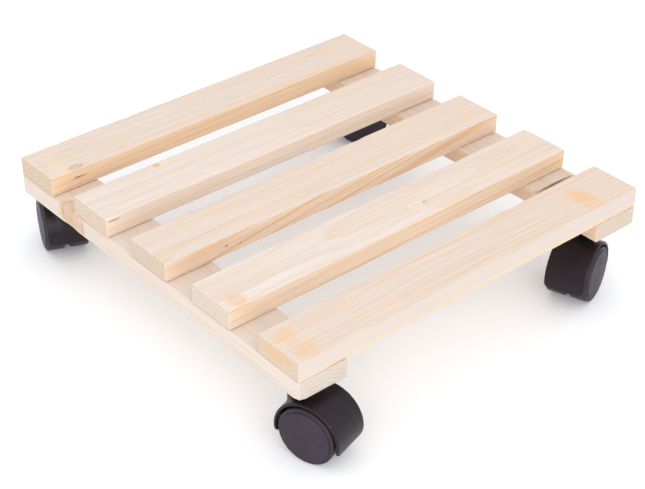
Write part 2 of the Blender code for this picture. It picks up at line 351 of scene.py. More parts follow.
@dataclass(frozen=True)
class PineFinish:
    """Bare planed pine, its growth rings turned about a pith line that runs along the board."""

    name: str
    grain: Grain
    pith: tuple[float, float]  # across and up from the board's middle
    seed: float
    ring: float = 0.0032
    early: Colour = (0.79, 0.70, 0.625)
    late: Colour = (0.79, 0.55, 0.345)
    blush: Colour = (0.78, 0.645, 0.53)
    # side: the narrow sides' colour, painted shade and warm bounce light from the boards beside them
    side: Colour = (0.84, 0.585, 0.37)
    end_early: Colour = (0.74, 0.615, 0.49)
    end_late: Colour = (0.60, 0.45, 0.31)
    painted_side_shade: float = 0.45  # how far the narrow sides lean to their painted shade colour
    contrast: float = 0.55  # of the rings on the long faces
    streaks: float = 0.6  # of the fine orange lines
    lines: float = 0.3  # of the long grain lines on the sides
    climb: float = 0.03  # how far the lines on the sides rise per metre of board
    heart: float = 0.50  # how much the wood warms towards its far end
    blemishes: tuple[Blemish, ...] = ()

    def material(self, middle: Vector) -> bpy.types.Material:
        """Build the finish for a board.

        Args:
            middle: The board's middle.

        Returns:
            The material.
        """
        graph = FinishGraph(self.name)
        place = self._grain_place(graph, graph.vector("SUBTRACT", graph.place, tuple(middle)))
        facing = self._grain_place(graph, graph.coordinates.outputs["Normal"])
        along_face, side_face, _ = [graph.math("ABSOLUTE", part) for part in graph.split(facing)]
        end = graph.remap(along_face, 0.55, 0.85)
        side = graph.remap(side_face, 0.55, 0.9)
        rings = self._rings(graph, place)
        fibre = graph.noise(place, (16.0, 900.0, 900.0), 4.0, self.seed)
        pores = graph.noise(place, (60.0, 1500.0, 1500.0), 3.0, self.seed + 4.0)

        colour = self._long_colour(graph, place, rings, side)
        end_colour = graph.mix(graph.remap(rings, 0.2, 0.9, 0.15, 0.75), self.end_early, self.end_late)
        end_colour = graph.mix(graph.remap(pores, 0.35, 0.7, 0.35, 0.0), end_colour, self.end_late)
        sawn = graph.noise(graph.place, (60.0, 900.0, 130.0), 2.0, self.seed + 7.0)
        end_colour = graph.mix(graph.remap(sawn, 0.45, 0.7, 0.0, 0.35), end_colour, self.end_late)
        colour = graph.mix(end, colour, end_colour)
        shade = graph.remap(fibre, 0.3, 0.7, 0.87, 0.97)
        colour = graph.mix(1.0, colour, graph.joined([shade, shade, shade]), "MULTIPLY")
        for number, blemish in enumerate(self.blemishes):
            colour = self._marked(graph, colour, blemish, self.seed + number)
        roughness = graph.remap(fibre, 0.25, 0.75, 0.56, 0.72)
        graph.dress(Base_Color=colour, Roughness=roughness, Specular_IOR_Level=0.35)
        relief = graph.math("ADD", graph.math("MULTIPLY", fibre, 0.6), graph.math("MULTIPLY", rings, 0.35))
        rough_end = graph.math("MULTIPLY", graph.math("ADD", pores, sawn), end)
        graph.bump(graph.math("ADD", relief, rough_end), 0.00012, 0.8)
        return graph.material

    def _long_colour(self, graph: FinishGraph, place: Socket, rings: Socket, side: Socket) -> Socket:
        """Return the colour of the faces that the grain runs along, with painted shade on the narrow sides.

        Args:
            graph: The finish's nodes.
            place: The point, along the grain, across it and up.
            rings: How far it is into its ring's late wood.
            side: 1 on the board's narrow sides.

        Returns:
            The colour.
        """
        bands = graph.noise(place, (2.2, 85.0, 85.0), 2.0, self.seed + 1.0)
        tone = graph.noise(place, (9.0, 22.0, 22.0), 2.0, self.seed + 2.0)
        streaks = graph.noise(place, (3.0, 430.0, 430.0), 2.0, self.seed + 6.0)
        canals = graph.noise(place, (150.0, 2600.0, 2600.0), 1.0, self.seed + 3.0)
        along = graph.split(place)[0]
        climb = graph.joined([0.0, 0.0, graph.math("MULTIPLY", along, -self.climb)])
        climbing = graph.vector("ADD", place, climb)
        lines = graph.noise(climbing, (2.0, 60.0, 420.0), 2.0, self.seed + 8.0)

        colour = graph.mix(graph.math("MULTIPLY", rings, self.contrast), self.early, self.late)
        mottle = graph.math("ADD", bands, graph.math("MULTIPLY", tone, 0.35))
        colour = graph.mix(graph.remap(mottle, 0.55, 0.85, 0.0, 0.6), colour, self.blush)
        colour = graph.mix(graph.remap(along, -0.15, 0.15, 0.0, self.heart), colour, self.blush)
        colour = graph.mix(graph.remap(streaks, 0.55, 0.70, 0.0, self.streaks), colour, self.late)
        # painted shade and warm bounce light on the narrow sides
        colour = graph.mix(graph.math("MULTIPLY", side, self.painted_side_shade), colour, self.side)
        dark_line = graph.math("MULTIPLY", side, graph.remap(lines, 0.50, 0.62, 0.0, self.lines))
        colour = graph.mix(dark_line, colour, RESIN)
        return graph.mix(graph.remap(canals, 0.68, 0.78, 0.0, 0.35), colour, self.late)

    def _grain_place(self, graph: FinishGraph, value: Socket) -> Socket:
        """Turn a vector so that its first part runs along the grain.

        Args:
            graph: The finish's nodes.
            value: The vector.

        Returns:
            The turned vector.
        """
        if self.grain is Grain.ALONG_X:
            return value
        parts = graph.split(value)
        return graph.joined([parts[1], parts[0], parts[2]])

    def _rings(self, graph: FinishGraph, place: Socket) -> Socket:
        """Return how far each point is into its ring's dark late wood.

        Args:
            graph: The finish's nodes.
            place: The point, along the grain, across it and up.

        Returns:
            The lateness, from 0 to 1.
        """
        drift = graph.noise(place, (3.5, 9.0, 9.0), 2.0, self.seed, "Color")
        drift = graph.vector("SUBTRACT", drift, (0.5, 0.5, 0.5))
        drift = graph.vector("MULTIPLY", drift, (0.0, 0.02, 0.02))
        from_pith = graph.vector("SUBTRACT", place, (0.0, *self.pith))
        flattened = graph.vector("MULTIPLY", graph.vector("ADD", from_pith, drift), (0.02, 1.0, 1.0))
        radius = graph.length(flattened)
        for blemish in self.blemishes:
            if blemish.mark is Mark.KNOT:
                near = graph.remap(self._distance(graph, blemish), 0.0, 2.6, 1.0, 0.0)
                radius = graph.math("ADD", radius, graph.math("MULTIPLY", near, self.ring * 1.5))
        wobble = graph.noise(place, (6.0, 160.0, 160.0), 2.0, self.seed + 5.0)
        turns = graph.math("DIVIDE", radius, self.ring)
        turns = graph.math("ADD", turns, graph.math("MULTIPLY", wobble, 0.7))
        lateness = [(0.0, 0.0), (0.45, 0.18), (0.8, 0.75), (0.92, 1.0), (1.0, 0.0)]
        return graph.ramp(graph.math("FRACT", turns), lateness)

    @staticmethod
    def _distance(graph: FinishGraph, blemish: Blemish) -> Socket:
        """Return the distance from a blemish's middle, 1 at its edge."""
        away = graph.vector("SUBTRACT", graph.place, blemish.at)
        return graph.length(graph.vector("DIVIDE", away, blemish.size))

    def _marked(self, graph: FinishGraph, colour: Socket, blemish: Blemish, seed: float) -> Socket:
        """Lay one blemish over the board's colour.

        Args:
            graph: The finish's nodes.
            colour: The colour so far.
            blemish: The blemish.
            seed: What sets its ragged edge apart from the others'.

        Returns:
            The colour with the blemish.
        """
        distance = self._distance(graph, blemish)
        torn = (90.0, 480.0, 480.0) if self.grain is Grain.ALONG_X else (480.0, 90.0, 480.0)
        waves = torn if blemish.mark is Mark.COMB else (320.0, 320.0, 320.0)
        ragged = graph.noise(graph.place, waves, 3.0, seed)
        ragged = graph.math("MULTIPLY", graph.math("SUBTRACT", ragged, 0.5), 0.7)
        distance = graph.math("ADD", distance, ragged)
        if blemish.mark is Mark.KNOT:
            stops = [(0.0, 0.35), (0.36, 0.55), (0.47, 1.0), (0.62, 0.0)]
            rim = graph.ramp(graph.math("MULTIPLY", distance, 0.5), stops)
            halo = graph.remap(distance, 0.8, 2.3, 0.35, 0.0)
            colour = graph.mix(halo, colour, self.late)
            return graph.mix(graph.math("MULTIPLY", rim, blemish.strength), colour, blemish.colour)
        cover = graph.remap(distance, 0.45, 1.15, blemish.strength, 0.0)
        if blemish.mark is Mark.COMB:
            teeth = graph.noise(graph.place, torn, 1.0, seed + 0.5)
            cover = graph.math("MULTIPLY", cover, graph.remap(teeth, 0.36, 0.58, 0.25, 1.0))
        return graph.mix(cover, colour, blemish.colour)


@dataclass(frozen=True)
class PlasticFinish:
    """Black moulded nylon with a fine sparked surface, faint flow marks and a little dust."""

    name: str
    colour: Colour
    dusty: Colour
    roughness: float
    shine: float = 0.35
    grip: float = 0.00006  # depth of the sparked texture

    def material(self) -> bpy.types.Material:
        """Build the finish.

        Returns:
            The material.
        """
        graph = FinishGraph(self.name)
        flow = graph.noise(graph.place, (60.0, 60.0, 35.0), 3.0, 1.0)
        speck = graph.noise(graph.place, (900.0, 900.0, 900.0), 2.0, 2.0)
        smear = graph.noise(graph.place, (240.0, 240.0, 240.0), 4.0, 3.0)
        colour = graph.mix(graph.remap(flow, 0.35, 0.7, 0.0, 0.5), self.colour, self.dusty)
        colour = graph.mix(graph.remap(speck, 0.70, 0.76, 0.0, 0.5), colour, (0.16, 0.14, 0.15))
        colour = graph.mix(graph.remap(smear, 0.58, 0.75, 0.0, 0.4), colour, self.dusty)
        patchy = graph.math("ADD", graph.math("MULTIPLY", flow, 0.5), graph.math("MULTIPLY", smear, 0.5))
        rough = graph.remap(patchy, 0.35, 0.65, self.roughness - 0.05, self.roughness + 0.07)
        graph.dress(Base_Color=colour, Roughness=rough, Specular_IOR_Level=self.shine)
        sparked = graph.noise(graph.place, (1600.0, 1600.0, 1600.0), 2.0, 4.0)
        relief = graph.math("ADD", graph.math("MULTIPLY", sparked, 0.7), graph.math("MULTIPLY", smear, 0.5))
        graph.bump(relief, self.grip, 0.7)
        return graph.material


@dataclass(frozen=True)
class SteelFinish:
    """Bright zinc-plated steel with a slight cloudiness and fine drawn scratches."""

    name: str
    colour: Colour
    roughness: float
    drawn: Point = (400.0, 400.0, 60.0)  # scratches per metre along each axis

    def material(self) -> bpy.types.Material:
        """Build the finish.

        Returns:
            The material.
        """
        graph = FinishGraph(self.name)
        cloud = graph.noise(graph.place, (220.0, 220.0, 220.0), 3.0, 1.0)
        scratches = tuple(4.0 * wave for wave in self.drawn)
        scratch = graph.noise(graph.place, scratches, 3.0, 2.0)
        dull = tuple(0.72 * part for part in self.colour)
        colour = graph.mix(graph.remap(cloud, 0.35, 0.7), self.colour, dull)
        rough = graph.remap(scratch, 0.3, 0.7, self.roughness - 0.08, self.roughness + 0.12)
        graph.dress(Base_Color=colour, Metallic=1.0, Roughness=rough)
        graph.bump(scratch, 0.00002, 0.6)
        return graph.material


@dataclass(frozen=True)
class FloorFinish:
    """A plain white studio sheet, lit a little from below."""

    colour: Colour = (0.955, 0.975, 0.99)
    glow: Colour = (0.96, 0.96, 1.0)
    glow_strength: float = 0.055

    def material(self) -> bpy.types.Material:
        """Build the finish.

        Returns:
            The material.
        """
        graph = FinishGraph("studio_paper")
        tooth = graph.noise(graph.place, (500.0, 500.0, 500.0), 3.0)
        soft = tuple(0.985 * part for part in self.colour)
        graph.dress(Base_Color=graph.mix(tooth, self.colour, soft), Roughness=0.85, Specular_IOR_Level=0.1,
                    Emission_Color=(*self.glow, 1.0), Emission_Strength=self.glow_strength)
        return graph.material


# ---------------------------------------------------------------- mesh tools


def new_object(name: str, mesh: bpy.types.Mesh) -> bpy.types.Object:
    """Put a mesh into the scene as an object at the origin.

    Args:
        name: The object's name.
        mesh: Its mesh.

    Returns:
        The object.
    """
    made = bpy.data.objects.new(name, mesh)
    bpy.context.scene.collection.objects.link(made)
    return made


def mesh_of(name: str, bm: bmesh.types.BMesh, sharp_deg: float | None = None) -> bpy.types.Mesh:
    """Weld a bmesh, point its faces outwards, and make it a mesh.

    Args:
        name: The mesh's name.
        bm: The bmesh, which is freed.
        sharp_deg: Edges sharper than this stay sharp and the rest is smooth. None leaves it flat.

    Returns:
        The mesh.
    """
    bmesh.ops.remove_doubles(bm, verts=bm.verts[:], dist=1e-6)
    bmesh.ops.recalc_face_normals(bm, faces=bm.faces[:])
    mesh = bpy.data.meshes.new(name)
    bm.to_mesh(mesh)
    bm.free()
    if sharp_deg is not None:
        smooth(mesh, sharp_deg)
    return mesh


def smooth(mesh: bpy.types.Mesh, sharp_deg: float) -> None:
    """Shade a mesh smooth, but for the edges sharper than an angle."""
    mesh.shade_smooth()
    mesh.set_sharp_from_angle(angle=math.radians(sharp_deg))


def plain_mesh(source: bpy.types.Object) -> bpy.types.Mesh:
    """Read an object's mesh as its modifiers leave it.

    Args:
        source: The object.

    Returns:
        The mesh, on its own.
    """
    bpy.context.view_layer.update()
    evaluated = source.evaluated_get(bpy.context.evaluated_depsgraph_get())
    return bpy.data.meshes.new_from_object(evaluated)


def combined(piece: bpy.types.Object, steps: list[tuple[str, bpy.types.Mesh]]) -> None:
    """Cut meshes out of a piece or join them to it, and drop the tools.

    Args:
        piece: The piece, whose mesh is replaced.
        steps: Each step's operation, DIFFERENCE or UNION, and its tool.
    """
    tools = []
    for number, (operation, mesh) in enumerate(steps):
        tool = new_object(f"{piece.name}_tool_{number}", mesh)
        tools.append(tool)
        modifier = piece.modifiers.new(tool.name, "BOOLEAN")
        modifier.operation = operation
        modifier.solver = "EXACT"
        modifier.object = tool
    piece.data = plain_mesh(piece)
    piece.modifiers.clear()
    for tool in tools:
        bpy.data.objects.remove(tool, do_unlink=True)


def loft(bm: bmesh.types.BMesh, rings: list[list[Vector]]) -> list[list[bmesh.types.BMVert]]:
    """Skin closed rings of the same number of points, one to the next.

    Args:
        bm: The bmesh to add to.
        rings: The rings of points.

    Returns:
        The rings of vertices.
    """
    columns = [[bm.verts.new(point) for point in ring] for ring in rings]
    for here, there in zip(columns, columns[1:]):
        for index in range(len(here)):
            after = (index + 1) % len(here)
            bm.faces.new((here[index], here[after], there[after], there[index]))
    return columns


def turned(profile: Outline, facets: int, along_y: bool = False,
           centre: Point = (0.0, 0.0, 0.0)) -> bmesh.types.BMesh:
    """Turn a profile about an upright axis, or about one along Y.

    Args:
        profile: Points of radius and height. It runs from the axis back to the axis, or is closed if
            no point is on the axis.
        facets: How many facets the turn has.
        along_y: Whether the axis lies along Y.
        centre: A point of the axis, from which heights count.

    Returns:
        The bmesh.
    """
    bm = bmesh.new()
    solid = profile[0][0] == 0.0
    columns = []
    for step in range(facets):
        angle = 2.0 * math.pi * step / facets
        column = []
        for radius, height in profile:
            spot = (radius * math.cos(angle), radius * math.sin(angle), height)
            spot = (spot[0], spot[2], spot[1]) if along_y else spot
            column.append(bm.verts.new(Vector(centre) + Vector(spot)))
        columns.append(column)
    last = len(profile) - 1 if solid else len(profile)
    for here, there in zip(columns, columns[1:] + columns[:1]):
        for index in range(last):
            after = (index + 1) % len(profile)
            bm.faces.new((here[index], there[index], there[after], here[after]))
    bmesh.ops.remove_doubles(bm, verts=bm.verts[:], dist=1e-7)
    return bm


def arc(centre: tuple[float, float], radius: float, start_deg: float, end_deg: float,
        steps: int = 4) -> Outline:
    """Lay the points of an arc in a profile.

    Args:
        centre: The arc's middle.
        radius: Its radius.
        start_deg: Where it starts, counted from the radius axis.
        end_deg: Where it ends.
        steps: How many straight stretches it has.

    Returns:
        The points, both ends included.
    """
    points = []
    for step in range(steps + 1):
        angle = math.radians(start_deg + (end_deg - start_deg) * step / steps)
        points.append((centre[0] + radius * math.cos(angle), centre[1] + radius * math.sin(angle)))
    return points


def node_points(node: str) -> list[Vector]:
    """Return the points of a CAD node's mesh."""
    return [vertex.co.copy() for vertex in frame["nodes"][node].data.vertices]


def settle(piece: bpy.types.Object, body: str, nodes: list[str]) -> None:
    """Hand a finished piece to the frame.

    Args:
        piece: The piece.
        body: The body that it rides on.
        nodes: The CAD nodes that it stands for.
    """
    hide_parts(*nodes)
    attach(piece, body)
    faces = len(piece.data.polygons)
    LOG.info("%s stands for %s on %s: %d faces", piece.name, ", ".join(nodes), body, faces)


def dress(mesh: bpy.types.Mesh, material: bpy.types.Material) -> None:
    """Give a mesh one material in place of any it has."""
    mesh.materials.clear()
    mesh.materials.append(material)


# ---------------------------------------------------------------- boards


@dataclass(frozen=True)
class Split:
    """A drying crack that opens in one face of a board."""

    face: Face
    start: Point
    end: Point
    width: float
    depth: float

    def cutter(self, seed: float) -> bpy.types.Mesh:
        """Build the wedge that the crack is cut with.

        Args:
            seed: What sets its wander apart from the others'.

        Returns:
            The wedge.
        """
        steps = 16
        first = Vector(self.start)
        run = Vector(self.end) - first
        outwards = Vector(self.face.value)
        across = run.cross(outwards).normalized()
        rings = []
        for step in range(steps + 1):
            share = step / steps
            swell = math.sin(math.pi * min(max(share, 0.03), 0.97)) ** 0.6
            wander = noise.noise(Vector((share * 5.0, seed, 0.0))) * self.width * 1.6
            ragged = 0.75 + 0.5 * noise.noise(Vector((share * 11.0, seed, 4.0)))
            middle = first + run * share + across * wander
            half = across * (self.width * 0.5 * swell * ragged + 0.00005)
            lift = outwards * PAST
            rings.append([middle + lift - half * 1.4, middle + lift + half * 1.4,
                          middle + half * 0.5 - outwards * self.depth * 0.6 * swell,
                          middle - outwards * self.depth * swell])
        bm = bmesh.new()
        columns = loft(bm, rings)
        bm.faces.new(columns[0])
        bm.faces.new(columns[-1])
        return mesh_of("split", bm)


@dataclass(frozen=True)
class Chip:
    """A place where an edge has broken away."""

    at: Point
    reach: float
    depth: float


@dataclass
class Board:
    """A planed stick with broken edges, its small damage and its holes."""

    node: str
    slot: str
    finish: PineFinish
    edge: float = 0.0009  # the rounding of its edges
    cell: float = 0.0021  # the size of its faces' divisions
    wear: float = 0.00012  # how far its faces are pressed in
    nick_from: float = 0.28  # the share of the unevenness under which an edge isn't nicked
    nick_depth: float = 0.0013
    sharp_deg: float = 38.0
    splits: tuple[Split, ...] = ()
    chips: tuple[Chip, ...] = ()

    def build(self) -> bpy.types.Object:
        """Build the board, dress it and hand it to the frame.

        Returns:
            The board.
        """
        low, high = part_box(self.node)
        middle = (low + high) / 2
        along_x = self.finish.grain is Grain.ALONG_X
        size = high - low
        bar = size if along_x else Vector((size.y, size.x, size.z))
        bm = self._bar(bar)
        if not along_x:
            bmesh.ops.rotate(bm, verts=bm.verts[:], matrix=Matrix.Rotation(math.pi / 2, 3, "Z"))
        bmesh.ops.translate(bm, verts=bm.verts[:], vec=middle)
        self._weather(bm, low, high, along_x)
        piece = new_object(f"{self.node}_timber", mesh_of(self.node, bm))
        seed = self.finish.seed
        tools = [("DIFFERENCE", split.cutter(seed + number)) for number, split in enumerate(self.splits)]
        tools += [("DIFFERENCE", mesh) for mesh in hole_tools(low, high)]
        combined(piece, tools)
        smooth(piece.data, self.sharp_deg)
        dress(piece.data, self.finish.material(middle))
        settle(piece, "root", [self.node])
        return piece

    def _bar(self, size: Vector) -> bmesh.types.BMesh:
        """Build a bar along X about the origin, with rounded edges and evenly divided faces.

        Args:
            size: The bar's length, width and thickness.

        Returns:
            The bmesh.
        """
        half = size / 2 - Vector((self.edge, self.edge, self.edge))
        counts = [max(2, round(2 * part / self.cell)) for part in half]
        spans = [[-part + 2 * part * step / count for step in range(count + 1)]
                 for part, count in zip(half, counts)]
        outline = self._outline(spans[1], spans[2])
        rounding = [math.radians(angle) for angle in (0, 22.5, 45, 67.5, 90)]
        stations = [(-half.x - self.edge * math.cos(a), self.edge * math.sin(a)) for a in rounding]
        stations += [(x, self.edge) for x in spans[0][1:-1]]
        stations += [(half.x + self.edge * math.cos(a), self.edge * math.sin(a))
                     for a in reversed(rounding)]
        bm = bmesh.new()
        loft(bm, [[Vector((x, y + out * ny, z + out * nz)) for y, z, ny, nz in outline]
                  for x, out in stations])
        for x in (stations[0][0], stations[-1][0]):
            grid = [[bm.verts.new((x, y, z)) for z in spans[2]] for y in spans[1]]
            for here, there in zip(grid, grid[1:]):
                for index in range(len(spans[2]) - 1):
                    bm.faces.new((here[index], there[index], there[index + 1], here[index + 1]))
        bmesh.ops.remove_doubles(bm, verts=bm.verts[:], dist=1e-6)
        bmesh.ops.recalc_face_normals(bm, faces=bm.faces[:])
        return bm

    @staticmethod
    def _outline(across: list[float], up: list[float]) -> list[tuple[float, float, float, float]]:
        """Run round a bar's section.

        Args:
            across: Places across the core of the section, lowest first.
            up: Heights in it, lowest first.

        Returns:
            The core's points in order, each with its outward direction.
        """
        sides = [([(y, up[-1]) for y in reversed(across)], 90.0),
                 ([(across[0], z) for z in reversed(up)], 180.0),
                 ([(y, up[0]) for y in across], 270.0),
                 ([(across[-1], z) for z in up], 360.0)]
        points = []
        for run, facing in sides:
            turn = math.radians(facing)
            points += [(y, z, math.cos(turn), math.sin(turn)) for y, z in run]
            for share in (0.25, 0.5, 0.75):
                turn = math.radians(facing + 90.0 * share)
                points.append((*run[-1], math.cos(turn), math.sin(turn)))
        return points

    def _weather(self, bm: bmesh.types.BMesh, low: Vector, high: Vector, along_x: bool) -> None:
        """Press the faces in by a hair, unevenly, and break the edges where they are chipped.

        Args:
            bm: The board, in place.
            low: The board's lowest corner.
            high: The board's highest corner.
            along_x: Whether its grain runs along X.
        """
        bm.normal_update()
        seed = self.finish.seed * 10.0
        stretch = Vector((14.0, 150.0, 150.0)) if along_x else Vector((150.0, 14.0, 150.0))
        across = 1 if along_x else 0
        moves = []
        for vertex in bm.verts:
            spot = Vector(vertex.co)
            wave = noise.noise(Vector((spot.x * stretch.x + seed, spot.y * stretch.y, spot.z * stretch.z)))
            press = self.wear * (0.5 + 0.5 * wave)
            near_side = min(spot[across] - low[across], high[across] - spot[across]) < 2 * self.edge
            near_face = min(spot.z - low.z, high.z - spot.z) < 2 * self.edge
            if near_side and near_face:
                nick = noise.noise(Vector((spot.x * 55.0 + seed, spot.y * 55.0, spot.z * 90.0 + seed)))
                press += max(0.0, nick - self.nick_from) * self.nick_depth
            for chip in self.chips:
                share = 1.0 - (spot - Vector(chip.at)).length / chip.reach
                if share > 0.0:
                    rough = 0.8 + 0.4 * noise.noise(spot * 420.0)
                    press += chip.depth * share * share * (3.0 - 2.0 * share) * rough
            moves.append(vertex.normal * -press)
        for vertex, move in zip(bm.verts, moves):
            vertex.co += move


def hole_tools(low: Vector, high: Vector) -> list[bpy.types.Mesh]:
    """Return the tools that cut a board's staple and socket holes.

    Args:
        low: The board's lowest corner.
        high: The board's highest corner.

    Returns:
        The tools, one for the staples and one for each socket that enters the board.
    """
    tools = []
    bm = bmesh.new()
    for node in frame["nodes"]:
        bottom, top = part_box(node)
        centre = (bottom + top) / 2
        if not (low.x < centre.x < high.x and low.y < centre.y < high.y):
            continue
        if node.startswith("staple"):
            add_staple_hole(bm, bottom, top)
        elif node.endswith("_stem"):
            socket = node.replace("_stem", "_socket")
            sleeve_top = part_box(socket)[1].z
            sleeve = [point for point in node_points(socket) if point.z > sleeve_top - PAST]
            reach = max((point.xy - centre.xy).length for point in sleeve) + GAP
            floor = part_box(socket)[0].z - PAST
            profile = [(0.0, floor), (reach, floor), (reach, top.z + PAST), (0.0, top.z + PAST)]
            hole = turned(profile, HOLE_FACETS, centre=(centre.x, centre.y, 0.0))
            tools.append(mesh_of("socket_hole", hole))
    tools.append(mesh_of("staple_holes", bm))
    return tools


def add_staple_hole(bm: bmesh.types.BMesh, bottom: Vector, top: Vector) -> None:
    """Add a staple's own shape, grown by the gap and open below.

    Args:
        bm: The bmesh to add to.
        bottom: The staple's lowest corner.
        top: The staple's highest corner.
    """
    wire = top.x - bottom.x
    outline = [(bottom.y - GAP, bottom.z - PAST), (bottom.y - GAP, top.z + GAP),
               (bottom.y + wire + GAP, top.z + GAP), (bottom.y + wire + GAP, bottom.z + wire + GAP),
               (top.y - wire - GAP, bottom.z + wire + GAP), (top.y - wire - GAP, top.z + GAP),
               (top.y + GAP, top.z + GAP), (top.y + GAP, bottom.z - PAST)]
    columns = loft(bm, [[Vector((x, y, z)) for y, z in outline] for x in (bottom.x - GAP, top.x + GAP)])
    bm.faces.new(columns[0])
    bm.faces.new(columns[1])


@dataclass
class Platform:
    """Five slats across two bearers."""

    boards: list[Board] = field(default_factory=list)

    def build(self) -> None:
        """Build every board."""
        for board in self.boards:
            board.build()


@dataclass
class Staples:
    """The wire staples, driven up through the bearers into the slats."""

    wire_share: float = 0.94  # of the wire's width in the frame
    corner: float = 0.0012
    sharp_deg: float = 45.0
    finish: SteelFinish = SteelFinish("galvanised_wire", (0.62, 0.62, 0.60), 0.38, (60.0, 300.0, 60.0))

    def build(self) -> bpy.types.Object:
        """Build all of the staples as one piece.

        Returns:
            The staples.
        """
        nodes = sorted(node for node in frame["nodes"] if node.startswith("staple"))
        bottom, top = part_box(nodes[0])
        size = top - bottom
        spots = bpy.data.meshes.new("staple_spots")
        places = [(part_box(node)[0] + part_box(node)[1]) / 2 for node in nodes]
        spots.from_pydata([(place.x, place.y, bottom.z) for place in places], [], [])
        sizes = {"Wire": size.x * self.wire_share, "Crown": size.y, "Leg": size.z, "Corner": self.corner}
        graph = ShapeGraph("staple_rows", sizes)
        half_wire = graph.math("MULTIPLY", graph.size("Wire"), 0.5)
        crown = graph.math("SUBTRACT", graph.size("Crown"), graph.size("Wire"))
        leg = graph.math("SUBTRACT", graph.size("Leg"), graph.size("Wire"))
        corners = graph.add("GeometryNodeMeshLine", {"Count": 4}, mode="OFFSET")
        from_middle = graph.math("SUBTRACT", graph.add("GeometryNodeInputIndex").outputs[0], 1.5)
        half_crown = graph.math("MULTIPLY", crown, 0.5)
        side = graph.math("MULTIPLY", graph.math("SIGN", from_middle), half_crown)
        is_tip = graph.math("GREATER_THAN", graph.math("ABSOLUTE", from_middle), 1.0)
        height = graph.math("ADD", graph.math("MULTIPLY", is_tip, leg), half_wire)
        bent = graph.add("GeometryNodeSetPosition", {"Geometry": corners.outputs["Mesh"],
                                                     "Position": graph.joined([0.0, side, height])})
        path = graph.add("GeometryNodeMeshToCurve", {"Mesh": bent.outputs["Geometry"]})
        rounded = graph.add("GeometryNodeFilletCurve", {"Curve": path.outputs["Curve"],
                                                        "Radius": graph.size("Corner")})
        set_choice(rounded, "Poly")
        graph.feed(rounded.inputs["Count"], 5)
        section = graph.add("GeometryNodeCurvePrimitiveCircle", {"Resolution": 10, "Radius": half_wire})
        swept = graph.add("GeometryNodeCurveToMesh", {"Curve": rounded.outputs["Curve"], "Fill Caps": True,
                                                      "Profile Curve": section.outputs["Curve"]})
        rows = graph.add("GeometryNodeInstanceOnPoints", {"Points": graph.start.outputs["Geometry"],
                                                          "Instance": swept.outputs["Mesh"]})
        graph.finish(rows.outputs["Instances"], self.finish.material())
        mesh = graph.make(spots)
        smooth(mesh, self.sharp_deg)
        piece = new_object("staples", mesh)
        settle(piece, "root", nodes)
        return piece


def set_choice(node: bpy.types.Node, choice: str) -> None:
    """Set a node's menu, which is a socket in some releases and a property in others.

    Args:
        node: The node.
        choice: The menu's entry.
    """
    if "Mode" in node.inputs:
        node.inputs["Mode"].default_value = choice
    else:
        node.mode = choice.upper()


# ---------------------------------------------------------------- casters


